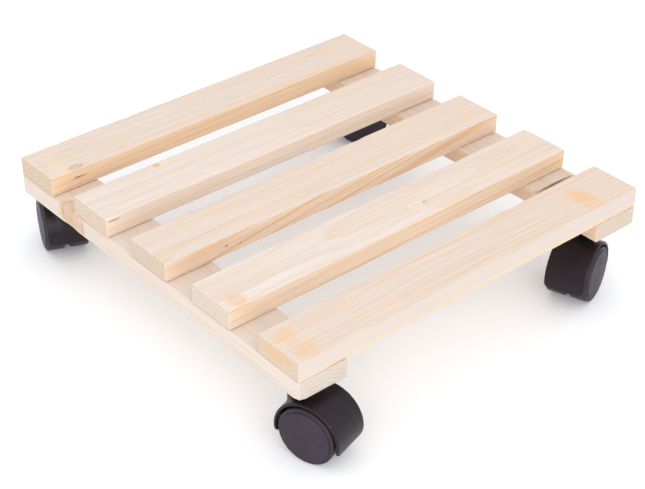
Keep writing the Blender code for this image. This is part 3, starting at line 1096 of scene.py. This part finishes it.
@dataclass
class Caster:
    """A hooded twin-wheel caster, built in its own frame and then turned to its heading.

    In that frame the swivel axis is Z, the axle lies along Y, and the floor is at zero.
    """

    corner: str
    hood_finish: bpy.types.Material
    wheel_finish: bpy.types.Material
    steel: bpy.types.Material
    hood_radius: float = 0.0236
    hood_wall: float = 0.0021
    hood_half: float = 0.0147
    hood_drop: float = 0.0070  # how far the lower edge hangs under the axle
    hood_corner: float = 0.0042  # the rounding of its four lower corners
    web: float = 0.003
    boss_radius: float = 0.0068
    boss_fillet: float = 0.0016
    stem_bore: float = 0.0041
    axle_bore: float = 0.0023
    boss_edge: float = 0.0006
    wheel_radius: float = 0.0200
    tread_edge: float = 0.0011  # the rounding of the tread's outer edge
    tread_step: float = 0.0013  # how far that edge stands behind the middle of the face
    face_radius: float = 0.0172
    face_dome: float = 0.0006  # how far the face falls from its middle to its edge
    groove_depth: float = 0.0014  # of the groove round the face, from its middle
    hub_radius: float = 0.0060
    rim_radius: float = 0.0164  # of the recess in a wheel's inner side
    recess_floor: float = 0.0090  # how far it is from the caster's middle
    soft: float = 0.0004  # the breaking of small edges
    fillet: float = 0.0006  # the rounding inside the recess
    ribs: int = 9
    rib_thickness: float = 0.0012
    rib_inset: float = 0.0012  # how far a rib's edge lies under the rim's
    name: str = field(init=False)
    axle_at: Vector = field(init=False)
    top: float = field(init=False)
    place: Matrix = field(init=False)

    def __post_init__(self) -> None:
        """Read the caster's place and heading from the frame's joints."""
        self.name = f"caster_{self.corner}"
        joints = {joint["name"]: joint for joint in frame["joints"]}
        swivel = Vector(joints[f"{self.name}_swivel"]["pos_m"])
        axle = Vector(joints[f"{self.name}_roll_left"]["pos_m"])
        reach = axle.xy - swivel.xy
        heading = math.atan2(reach.y, reach.x)
        self.axle_at = Vector((reach.length, 0.0, axle.z))
        self.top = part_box(f"{self.name}_hood")[1].z
        self.place = Matrix.Translation((swivel.x, swivel.y, 0.0)) @ Matrix.Rotation(heading, 4, "Z")

    def build(self) -> None:
        """Build the caster's pieces and dress the ones that keep their CAD shape."""
        self._hood()
        wheel = self._wheel_mesh()
        for side, turn in (("left", 0.0), ("right", math.pi)):
            self._wheel(wheel, side, turn)
        self._socket()
        for part in ("stem", "snap_ring", "axle"):
            node = frame["nodes"][f"{self.name}_{part}"]
            dress(node.data, self.steel)
            LOG.info("%s keeps its own shape", node.name)

    def _wrap(self, turn: float, across: float, radius: float) -> Vector:
        """Return a point about the axle: its turn from straight up, its place across, and its radius."""
        return Vector((self.axle_at.x + radius * math.sin(turn), across,
                       self.axle_at.z + radius * math.cos(turn)))

    def _about_axle(self, name: str, profile: Outline, facets: int) -> bpy.types.Mesh:
        """Return a profile turned about the axle, as a mesh of that name."""
        return mesh_of(name, turned(profile, facets, True, tuple(self.axle_at)))

    def _cover(self) -> bpy.types.Mesh:
        """Build the half-round cover: a sheet with rounded corners, wrapped about the axle.

        Its whole rim is a full round nose.

        Returns:
            The cover.
        """
        mid = self.hood_radius - self.hood_wall / 2
        nose = self.hood_wall / 2
        reach = math.pi / 2 + math.asin(self.hood_drop / self.hood_radius)
        half_run = reach * mid - nose
        half_width = self.hood_half - nose
        corner = self.hood_corner - nose
        rows = self._spaced(half_width, corner, 9)
        columns = 84
        bm = bmesh.new()
        sheets = []
        for radius in (self.hood_radius, self.hood_radius - self.hood_wall):
            sheet = []
            for across in rows:
                over = max(0.0, abs(across) - (half_width - corner))
                run = half_run - corner + math.sqrt(max(0.0, corner * corner - over * over))
                turns = [run * (2.0 * step / columns - 1.0) / mid for step in range(columns + 1)]
                sheet.append([bm.verts.new(self._wrap(turn, across, radius)) for turn in turns])
            sheets.append(sheet)
        for sheet in sheets:
            for here, there in zip(sheet, sheet[1:]):
                for index in range(columns):
                    bm.faces.new((here[index], here[index + 1], there[index + 1], there[index]))
        rims = [self._rim(sheet) for sheet in sheets]
        self._nose(bm, rims, mid, nose, half_run, half_width, corner)
        return mesh_of("hood_cover", bm)

    @staticmethod
    def _spaced(half: float, corner: float, middle_steps: int) -> list[float]:
        """Space the cover's rows, close together where its corners round.

        Args:
            half: Half the cover's width.
            corner: The rounding of its corners.
            middle_steps: How many even steps lie between the corners.

        Returns:
            The rows' places across it.
        """
        straight = half - corner
        curve = [straight + corner * math.sin(math.radians(angle)) for angle in (15, 30, 45, 60, 75, 90)]
        flat = [-straight + 2 * straight * step / middle_steps for step in range(middle_steps + 1)]
        return [-place for place in reversed(curve)] + flat + curve

    @staticmethod
    def _rim(sheet: list[list[bmesh.types.BMVert]]) -> list[bmesh.types.BMVert]:
        """Return the vertices round the edge of a grid, in order."""
        return (sheet[0][:] + [row[-1] for row in sheet[1:-1]] + sheet[-1][::-1]
                + [row[0] for row in reversed(sheet[1:-1])])

    def _nose(self, bm: bmesh.types.BMesh, rims: list[list[bmesh.types.BMVert]], mid: float, nose: float,
              half_run: float, half_width: float, corner: float) -> None:
        """Close the cover's rim with a full round nose.

        Args:
            bm: The cover so far.
            rims: The outer and the inner sheet's edge vertices, in the same order.
            mid: The radius of the wall's middle.
            nose: The nose's radius, half of the wall.
            half_run: Half the sheet's length about the axle.
            half_width: Half its width.
            corner: The rounding of its corners.
        """
        bends = (30.0, 60.0, 90.0, 120.0, 150.0)
        rings = [rims[0]]
        outlines = []
        for vertex in rims[0]:
            across = vertex.co.y
            turn = math.atan2(vertex.co.x - self.axle_at.x, vertex.co.z - self.axle_at.z)
            if vertex.co.z < self.axle_at.z:
                turn = math.copysign(abs(turn), vertex.co.x - self.axle_at.x)
            run = turn * mid
            core_run = max(-half_run + corner, min(half_run - corner, run))
            core_across = max(-half_width + corner, min(half_width - corner, across))
            out = Vector((run - core_run, across - core_across))
            out = out.normalized() if out.length > 1e-7 else Vector((0.0, math.copysign(1.0, across)))
            outlines.append((run, across, out))
        for bend in bends:
            angle = math.radians(bend)
            radius = mid + nose * math.cos(angle)
            ring = []
            for run, across, out in outlines:
                step = nose * math.sin(angle)
                turn = (run + out.x * step) / mid
                ring.append(bm.verts.new(self._wrap(turn, across + out.y * step, radius)))
            rings.append(ring)
        rings.append(rims[1])
        for here, there in zip(rings, rings[1:]):
            for index in range(len(here)):
                after = (index + 1) % len(here)
                bm.faces.new((here[index], here[after], there[after], there[index]))

    def _boss(self) -> bpy.types.Mesh:
        """Build the boss that holds the stem, flared where it meets the cover.

        Returns:
            The boss.
        """
        facets = 64
        bends = [math.radians(angle) for angle in (0, 18, 36, 54, 72, 90)]
        rings = [[] for _ in range(len(bends) + 3)]
        edge = self.boss_edge
        for step in range(facets):
            turn = 2.0 * math.pi * step / facets
            ray = Vector((math.cos(turn), math.sin(turn)))
            rings[0].append(Vector((*(ray * (self.boss_radius - edge)), self.top)))
            rings[1].append(Vector((*(ray * self.boss_radius), self.top - edge)))
            for number, bend in enumerate(bends):
                reach = self.boss_radius + self.boss_fillet * (1.0 - math.cos(bend))
                height = self._cover_height(ray.x * reach) + self.boss_fillet * (1.0 - math.sin(bend))
                rings[2 + number].append(Vector((*(ray * reach), min(height, self.top - 2 * edge))))
            last = rings[-2][-1]
            rings[-1].append(Vector((last.x, last.y, last.z - self.hood_wall * 0.8)))
        bm = bmesh.new()
        columns = loft(bm, rings)
        bm.faces.new(columns[0])
        bottom = [bm.verts.new((vertex.co.x, vertex.co.y, min(vertex.co.z, self.axle_at.z + 0.008)))
                  for vertex in columns[-1]]
        for index in range(facets):
            after = (index + 1) % facets
            bm.faces.new((columns[-1][index], columns[-1][after], bottom[after], bottom[index]))
        bm.faces.new(bottom)
        return mesh_of("boss", bm)

    def _cover_height(self, forward: float) -> float:
        """Return the height of the cover's outer face at a distance forward of the swivel axis."""
        away = min(abs(self.axle_at.x - forward), self.hood_radius - 0.0002)
        return self.axle_at.z + math.sqrt(self.hood_radius ** 2 - away ** 2)

    def _web_mesh(self) -> bpy.types.Mesh:
        """Build the wall between the wheels, which carries the axle.

        Returns:
            The wall.
        """
        radius = self.hood_radius - self.hood_wall / 2
        dip = math.asin((self.hood_drop - 0.001) / radius)
        sweep = math.pi + 2 * dip
        steps = 60
        turns = [-sweep / 2 + sweep * step / steps for step in range(steps + 1)]
        bm = bmesh.new()
        columns = loft(bm, [[self._wrap(turn, side * self.web / 2, radius) for turn in turns]
                            for side in (-1, 1)])
        bm.faces.new(columns[0])
        bm.faces.new(columns[1])
        return mesh_of("web", bm)

    def _hood(self) -> None:
        """Build the hood: the cover, the wall between the wheels, and the boss with its bores."""
        piece = new_object(f"{self.name}_cover", self._boss())
        well = self.hood_radius - self.hood_wall * 0.55
        wells = []
        for side in (-1, 1):
            near = side * self.web / 2
            far = side * (self.hood_half + PAST)
            profile = [(0.0, near), (well, near), (well, far), (0.0, far)]
            wells.append(("DIFFERENCE", self._about_axle("well", profile, WHEEL_FACETS)))
        combined(piece, wells)
        stem_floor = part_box(f"{self.name}_stem")[0].z - GAP
        bore = [(0.0, stem_floor), (self.stem_bore, stem_floor), (self.stem_bore, self.top + PAST),
                (0.0, self.top + PAST)]
        half = self.web / 2 + PAST
        axle = [(0.0, -half), (self.axle_bore, -half), (self.axle_bore, half), (0.0, half)]
        combined(piece, [("UNION", self._cover()), ("UNION", self._web_mesh()),
                         ("DIFFERENCE", mesh_of("bore", turned(bore, BORE_FACETS))),
                         ("DIFFERENCE", self._about_axle("axle_bore", axle, AXLE_FACETS))])
        piece.data.transform(self.place)
        smooth(piece.data, SHARP_DEG)
        dress(piece.data, self.hood_finish)
        settle(piece, self.name, [f"{self.name}_hood"])

    def _wheel_mesh(self) -> bpy.types.Mesh:
        """Build one wheel about the axle, its outer face towards +Y.

        Returns:
            The wheel.
        """
        points = node_points_local(self, "wheel_left")
        crown = max(point.y for point in points)
        inner = min(point.y for point in points)
        pocket = max(point.y for point in node_points_local(self, "axle")) + GAP
        profile = self._face_outline(crown) + self._recess_outline(crown, inner)
        profile += [(self.axle_bore, inner), (self.axle_bore, pocket), (0.0, pocket)]
        body = new_object("wheel_pattern", self._about_axle("wheel", profile, WHEEL_FACETS))
        combined(body, [("UNION", self._rib_mesh(inner))])
        mesh = body.data
        bpy.data.objects.remove(body, do_unlink=True)
        return mesh

    def _face_outline(self, crown: float) -> Outline:
        """Draw a wheel's domed face, the groove round it, and the outer edge of its tread.

        Args:
            crown: How far the middle of the face is from the caster's middle.

        Returns:
            The outline, from the axis outwards.
        """
        face, groove = self.face_radius, crown - self.groove_depth
        step = crown - self.tread_step
        outline = [(0.0, crown)]
        outline += [(share * face, crown - self.face_dome * share ** 2) for share in (0.25, 0.5, 0.75,
                                                                                      0.95)]
        outline += arc((face, crown - self.face_dome - self.soft), self.soft, 80.0, 10.0)
        outline += [(face + 0.0005, groove), (face + 0.0009, groove), (face + 0.0012, step)]
        edge = self.tread_edge
        return outline + arc((self.wheel_radius - edge, step - edge), edge, 85.0, 0.0, 5)

    def _recess_outline(self, crown: float, inner: float) -> Outline:
        """Draw a wheel's tread, its inner edge, and the recess between its rim and its hub.

        Args:
            crown: How far the middle of the outer face is from the caster's middle.
            inner: How far the rim's inner face is from it.

        Returns:
            The outline, from the tread inwards.
        """
        radius, hub, rim, floor = self.wheel_radius, self.hub_radius, self.rim_radius, self.recess_floor
        soft, fillet = self.soft, self.fillet
        outline = [(radius, crown - 0.006), (radius, inner + 0.0035)]
        outline += arc((radius - 0.0010, inner + 0.0012), 0.0010, 0.0, -90.0)
        outline += [(rim + 3 * soft, inner + soft / 2), (rim + soft, inner + fillet), (rim, floor - fillet)]
        outline += [(rim - fillet, floor), (hub + soft + fillet, floor), (hub + soft, floor - fillet)]
        return outline + [(hub, inner + soft), (hub - soft, inner)]

    def _rib_mesh(self, inner: float) -> bpy.types.Mesh:
        """Build the ribs in a wheel's inner side, from its hub to its rim.

        Args:
            inner: How far from the caster's middle the rim's inner face is.

        Returns:
            The ribs, sunk a little into the hub, the rim and the recess's floor.
        """
        hub, rim, sunk = self.hub_radius, self.rim_radius, self.fillet
        low, high = inner + self.rib_inset, self.recess_floor + sunk
        graph = ShapeGraph("wheel_ribs", {"Length": rim - hub + 2 * sunk, "Thick": self.rib_thickness,
                                          "Height": high - low, "Ring": (rim + hub) / 2})
        circle = graph.add("GeometryNodeMeshCircle", {"Vertices": self.ribs, "Radius": graph.size("Ring")})
        block = [graph.size("Length"), graph.size("Thick"), graph.size("Height")]
        rib = graph.add("GeometryNodeMeshCube", {"Size": graph.joined(block)})
        index = graph.add("GeometryNodeInputIndex").outputs[0]
        turn = graph.math("MULTIPLY", index, 2.0 * math.pi / self.ribs)
        spread = graph.add("GeometryNodeInstanceOnPoints", {"Points": circle.outputs["Mesh"],
                                                            "Instance": rib.outputs["Mesh"],
                                                            "Rotation": graph.joined([0.0, 0.0, turn])})
        graph.finish(spread.outputs["Instances"], self.wheel_finish)
        mesh = graph.make(bpy.data.meshes.new("rib_start"))
        middle = self.axle_at + Vector((0.0, (low + high) / 2, 0.0))
        mesh.transform(Matrix.Translation(middle) @ Matrix.Rotation(-math.pi / 2, 4, "X"))
        return mesh

    def _wheel(self, pattern: bpy.types.Mesh, side: str, turn: float) -> None:
        """Put one wheel in its place.

        Args:
            pattern: The wheel's mesh, its outer face towards +Y.
            side: The wheel's side, left or right.
            turn: How far it is turned about the axle's middle, seen from above.
        """
        mesh = pattern.copy()
        away, back = Matrix.Translation(self.axle_at), Matrix.Translation(-self.axle_at)
        mesh.transform(self.place @ away @ Matrix.Rotation(turn, 4, "Z") @ back)
        smooth(mesh, SHARP_DEG)
        dress(mesh, self.wheel_finish)
        piece = new_object(f"{self.name}_disc_{side}", mesh)
        settle(piece, f"{self.name}_wheel_{side}", [f"{self.name}_wheel_{side}"])

    def _socket(self) -> None:
        """Build the flanged sleeve, pressed up into the bearer."""
        node = f"{self.name}_socket"
        low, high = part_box(node)
        centre = (low + high) / 2
        points = node_points(node)
        flange = (high.x - low.x) / 2
        top_points = [(point.xy - centre.xy).length for point in points if point.z > high.z - PAST]
        sleeve, bore = max(top_points), min(top_points)
        flange_top = max(point.z for point in points if (point.xy - centre.xy).length > flange - PAST)
        soft = self.soft
        profile = [(bore + soft, low.z), (flange - soft, low.z), (flange, low.z + soft),
                   (flange, flange_top - soft / 4), (flange - soft / 4, flange_top), (sleeve, flange_top),
                   (sleeve, high.z - soft), (sleeve - soft, high.z), (bore + soft / 2, high.z),
                   (bore, high.z - soft), (bore, low.z + soft)]
        solid = turned(profile, SLEEVE_FACETS, centre=(centre.x, centre.y, 0.0))
        piece = new_object(f"{self.name}_sleeve", mesh_of("sleeve", solid, SHARP_DEG))
        dress(piece.data, self.steel)
        settle(piece, "root", [node])


def node_points_local(caster: Caster, part: str) -> list[Vector]:
    """Return the points of one of a caster's CAD nodes, in the caster's own frame."""
    back = caster.place.inverted()
    return [back @ point for point in node_points(f"{caster.name}_{part}")]


# ---------------------------------------------------------------- studio


@dataclass(frozen=True)
class Studio:
    """A white paper floor, soft light from all round and above, and the camera."""

    azimuth_deg: float = -40.732
    elevation_deg: float = 34.148
    roll_deg: float = 0.435
    distance: float = 1.0217
    aim: tuple[float, float] = (-0.0590, -0.0664)  # on the platform's top
    lens: float = 88.55
    floor_half: float = 6.0
    sky: float = 1.04
    lamp_power: float = 26.0
    lamp_size: float = 2.0
    lamp_at: Point = (-1.3, -1.8, 1.1)

    def build(self) -> None:
        """Set up the whole studio."""
        self._floor()
        self._light()
        self._camera()

    def _floor(self) -> None:
        """Lay the paper."""
        bm = bmesh.new()
        side = self.floor_half
        corners = ((-side, -side, 0.0), (side, -side, 0.0), (side, side, 0.0), (-side, side, 0.0))
        bm.faces.new([bm.verts.new(corner) for corner in corners])
        floor = new_object("studio_floor", mesh_of("studio_floor", bm))
        dress(floor.data, FloorFinish().material())

    def _light(self) -> None:
        """Light the scene evenly, with one large soft lamp."""
        world = bpy.data.worlds.new("studio")
        world.use_nodes = True
        background = world.node_tree.nodes["Background"]
        background.inputs["Color"].default_value = (1.0, 0.99, 1.0, 1.0)
        background.inputs["Strength"].default_value = self.sky
        bpy.context.scene.world = world
        data = bpy.data.lights.new("soft_lamp", "AREA")
        data.energy = self.lamp_power
        data.size = self.lamp_size
        lamp = bpy.data.objects.new("soft_lamp", data)
        lamp.location = self.lamp_at
        lamp.rotation_euler = (-Vector(self.lamp_at)).to_track_quat("-Z", "Y").to_euler()
        bpy.context.scene.collection.objects.link(lamp)

    def _camera(self) -> None:
        """Set the camera up at its angle, aimed at a point of the platform's top."""
        data = bpy.data.cameras.new("camera")
        data.lens = self.lens
        camera = bpy.data.objects.new("camera", data)
        turn = (Matrix.Rotation(math.radians(self.azimuth_deg), 4, "Z")
                @ Matrix.Rotation(math.radians(90.0 - self.elevation_deg), 4, "X")
                @ Matrix.Rotation(math.radians(self.roll_deg), 4, "Z"))
        back = turn @ Vector((0.0, 0.0, 1.0))
        target = Vector((*self.aim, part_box("slat_3")[1].z))
        camera.matrix_world = Matrix.Translation(target + back * self.distance) @ turn
        bpy.context.scene.collection.objects.link(camera)
        bpy.context.scene.camera = camera
        bpy.context.scene.view_settings.view_transform = "Standard"


# ---------------------------------------------------------------- the caddy's own boards and finishes

AMBER = (0.80, 0.50, 0.28)
HONEY = (0.80, 0.55, 0.31)
RESIN = (0.76, 0.45, 0.22)
KNOT_GREY = (0.42, 0.34, 0.30)
KNOT_BROWN = (0.50, 0.30, 0.16)
# painted shade inside the front splits of slats 1 and 2, and the colour of two small dark marks on slat 3's
# front
DARK_MARK_AND_CRACK_SHADE = (0.30, 0.17, 0.10)
# painted shade: a greyer, darker colour over the front slat's whole front face, which the lamp lights
# harder than its top
PAINTED_FRONT_SHADE = (0.60, 0.535, 0.505)
HOOD_NYLON = PlasticFinish("hood_nylon", (0.009, 0.005, 0.008), (0.020, 0.012, 0.019), 0.34, 0.28)
WHEEL_NYLON = PlasticFinish("wheel_nylon", (0.033, 0.024, 0.036), (0.049, 0.037, 0.052), 0.46, 0.20)
ZINC = SteelFinish("zinc_plate", (0.66, 0.66, 0.64), 0.30)


def make_platform() -> Platform:
    """Describe every board of this caddy.

    Returns:
        The platform.
    """
    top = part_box("slat_3")[1].z
    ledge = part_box("bearer_left")[1].z
    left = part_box("slat_3")[0].x
    right_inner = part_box("bearer_right")[0].x
    slat = {number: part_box(f"slat_{number}") for number in range(1, 6)}
    front = {number: box[0].y for number, box in slat.items()}
    # how far each board's narrow sides take their painted shade colour is set board by board; the lit front
    # slat takes little
    boards = [
        Board("slat_1", "slat_pine", PineFinish(
            "pine_back_slat", Grain.ALONG_X, (-0.030, -0.060), 1.0, contrast=0.36, painted_side_shade=0.80,
            lines=0.55, early=(0.78, 0.692, 0.617), end_early=(0.71, 0.57, 0.43), blemishes=(
                Blemish(Mark.KNOT, (-0.1276, front[1] + 0.0035, top), (0.0050, 0.0026, 0.004),
                        KNOT_GREY, 0.7),
                Blemish(Mark.STAIN_AND_SHADE, (-0.137, 0.125, top), (0.006, 0.016, 0.004), (0.82, 0.66, 0.42), 0.5),
                # painted shade along the split in this front face
                Blemish(Mark.STAIN_AND_SHADE, (-0.127, front[1], 0.0725), (0.0062, 0.002, 0.0006),
                        DARK_MARK_AND_CRACK_SHADE, 0.8))),
            splits=(Split(Face.FRONT, (-0.1335, front[1], 0.0731), (-0.1215, front[1], 0.0722),
                          0.0006, 0.0014),)),
        Board("slat_2", "slat_pine", PineFinish(
            "pine_second_slat", Grain.ALONG_X, (0.020, -0.075), 2.0, contrast=0.28, painted_side_shade=0.14,
            lines=0.18, early=(0.81, 0.73, 0.668), end_early=(0.76, 0.64, 0.53), blemishes=(
                Blemish(Mark.KNOT, (-0.0841, 0.0821, top), (0.0022, 0.0015, 0.003), KNOT_BROWN, 0.8),
                Blemish(Mark.STAIN_AND_SHADE, (-0.060, 0.079, top), (0.050, 0.0018, 0.002), HONEY, 0.35),
                # painted shade along the first split in this front face
                Blemish(Mark.STAIN_AND_SHADE, (-0.1435, front[2], 0.0764), (0.0050, 0.002, 0.0006),
                        DARK_MARK_AND_CRACK_SHADE, 0.6))),
            splits=(Split(Face.FRONT, (-0.1488, front[2], 0.0768), (-0.1385, front[2], 0.0760),
                          0.0006, 0.0014),
                    Split(Face.FRONT, (-0.103, front[2], 0.0782), (-0.085, front[2], 0.0784),
                          0.0003, 0.0008))),
        Board("slat_3", "slat_pine", PineFinish(
            "pine_middle_slat", Grain.ALONG_X, (-0.012, 0.055), 3.0, contrast=0.52, painted_side_shade=0.42,
            ring=0.0030, early=(0.785, 0.698, 0.628), lines=0.75, climb=0.13, end_late=(0.55, 0.42, 0.30),
            blemishes=(
                Blemish(Mark.STAIN_AND_SHADE, (-0.101, front[3], 0.0718), (0.0015, 0.002, 0.0012), DARK_MARK_AND_CRACK_SHADE, 0.7),
                Blemish(Mark.STAIN_AND_SHADE, (-0.0895, front[3], 0.0690), (0.0012, 0.002, 0.0010), DARK_MARK_AND_CRACK_SHADE, 0.6),
                Blemish(Mark.STAIN_AND_SHADE, (-0.1006, 0.019, top), (0.0025, 0.0015, 0.002), KNOT_BROWN, 0.5)))),
        Board("slat_4", "slat_pine", PineFinish(
            "pine_fourth_slat", Grain.ALONG_X, (0.006, -0.050), 4.0, contrast=0.46, painted_side_shade=0.55,
            early=(0.825, 0.76, 0.715), end_early=(0.755, 0.655, 0.57), end_late=(0.62, 0.49, 0.37),
            lines=1.0, blemishes=(
                Blemish(Mark.KNOT, (0.0192, -0.0699, top), (0.0058, 0.0030, 0.004),
                        (0.84, 0.72, 0.57), 0.7),
                Blemish(Mark.STAIN_AND_SHADE, (0.0262, -0.0715, top), (0.0018, 0.0014, 0.002), KNOT_GREY, 0.7),
                Blemish(Mark.STAIN_AND_SHADE, (0.044, -0.0820, top), (0.022, 0.0032, 0.002), (0.78, 0.52, 0.38), 0.5),
                Blemish(Mark.COMB, (-0.139, -0.079, top), (0.008, 0.008, 0.004), AMBER, 0.75)))),
        Board("slat_5", "slat_pine", PineFinish(
            "pine_front_slat", Grain.ALONG_X, (0.030, -0.040), 5.0, contrast=0.60, painted_side_shade=0.10,
            lines=0.15, early=(0.77, 0.682, 0.607), end_early=(0.71, 0.61, 0.53), blemishes=(
                # painted shade over the whole front face
                Blemish(Mark.STAIN_AND_SHADE, (0.0, front[5], 0.0735), (0.60, 0.002, 0.009), PAINTED_FRONT_SHADE, 0.68),
                Blemish(Mark.COMB, (-0.1384, -0.126, top), (0.009, 0.008, 0.004), AMBER, 0.75),
                Blemish(Mark.COMB, (-0.1364, -0.143, top), (0.011, 0.010, 0.004), AMBER, 0.70),
                Blemish(Mark.COMB, (0.1120, -0.137, top), (0.010, 0.016, 0.004), AMBER, 0.95),
                Blemish(Mark.STAIN_AND_SHADE, (left, -0.131, top - 0.0055), (0.002, 0.019, 0.0052),
                        (0.66, 0.46, 0.27), 0.9),
                Blemish(Mark.STAIN_AND_SHADE, (0.0, front[5], 0.0678), (0.60, 0.002, 0.0008), HONEY, 0.75)))),
        Board("bearer_left", "bearer_pine", PineFinish(
            "pine_left_bearer", Grain.ALONG_Y, (-0.010, -0.060), 6.0, contrast=0.30, painted_side_shade=0.75,
            # the left bearer's narrow sides take a paler painted shade colour
            heart=0.1, side=(0.715, 0.635, 0.575), lines=0.2, end_early=(0.69, 0.625, 0.57),
            end_late=(0.60, 0.49, 0.39), blemishes=(
                Blemish(Mark.KNOT, (left + 0.002, 0.0965, ledge - 0.001), (0.007, 0.0075, 0.009),
                        KNOT_BROWN, 0.5),
                Blemish(Mark.STAIN_AND_SHADE, (left, 0.090, 0.0570), (0.004, 0.017, 0.009), (0.61, 0.41, 0.27), 0.80),
                Blemish(Mark.STAIN_AND_SHADE, (left, 0.1010, 0.0590), (0.003, 0.0016, 0.007), KNOT_BROWN, 0.55),
                Blemish(Mark.STAIN_AND_SHADE, (left, 0.0905, 0.0560), (0.003, 0.0010, 0.006), KNOT_BROWN, 0.3),
                Blemish(Mark.STAIN_AND_SHADE, (left, 0.0775, 0.0560), (0.003, 0.0016, 0.009), KNOT_BROWN, 0.6))),
            chips=(Chip((-0.1135, -0.1515, ledge), 0.0040, 0.0008),
                   Chip((left, -0.152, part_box("bearer_left")[0].z), 0.0050, 0.0016))),
        Board("bearer_right", "bearer_pine", PineFinish(
            "pine_right_bearer", Grain.ALONG_Y, (0.014, -0.055), 7.0, contrast=0.45, painted_side_shade=0.60,
            end_early=(0.69, 0.615, 0.555), blemishes=(
                # painted shade along the split in the bearer's top
                Blemish(Mark.STAIN_AND_SHADE, (0.128, -0.0968, ledge), (0.021, 0.0020, 0.003), (0.34, 0.20, 0.15),
                        0.75),
                Blemish(Mark.STAIN_AND_SHADE, (right_inner, -0.0955, ledge), (0.003, 0.0030, 0.003), KNOT_BROWN,
                        0.6))),
            splits=(Split(Face.TOP, (right_inner + 0.0005, -0.0970, ledge), (0.1465, -0.0962, ledge),
                          0.0013, 0.0045),),
            chips=(Chip((right_inner, -0.0950, ledge), 0.0045, 0.0018),)),
    ]
    return Platform(boards)


def main() -> None:
    """Build the caddy piece by piece and set up the studio."""
    logging.basicConfig(level=logging.INFO, format="%(message)s")
    make_platform().build()
    Staples().build()
    hood, wheel, steel = (finish.material() for finish in (HOOD_NYLON, WHEEL_NYLON, ZINC))
    for corner in ("front_left", "front_right", "back_left", "back_right"):
        Caster(corner, hood, wheel, steel).build()
    Studio().build()


if __name__ == "__main__":
    main()
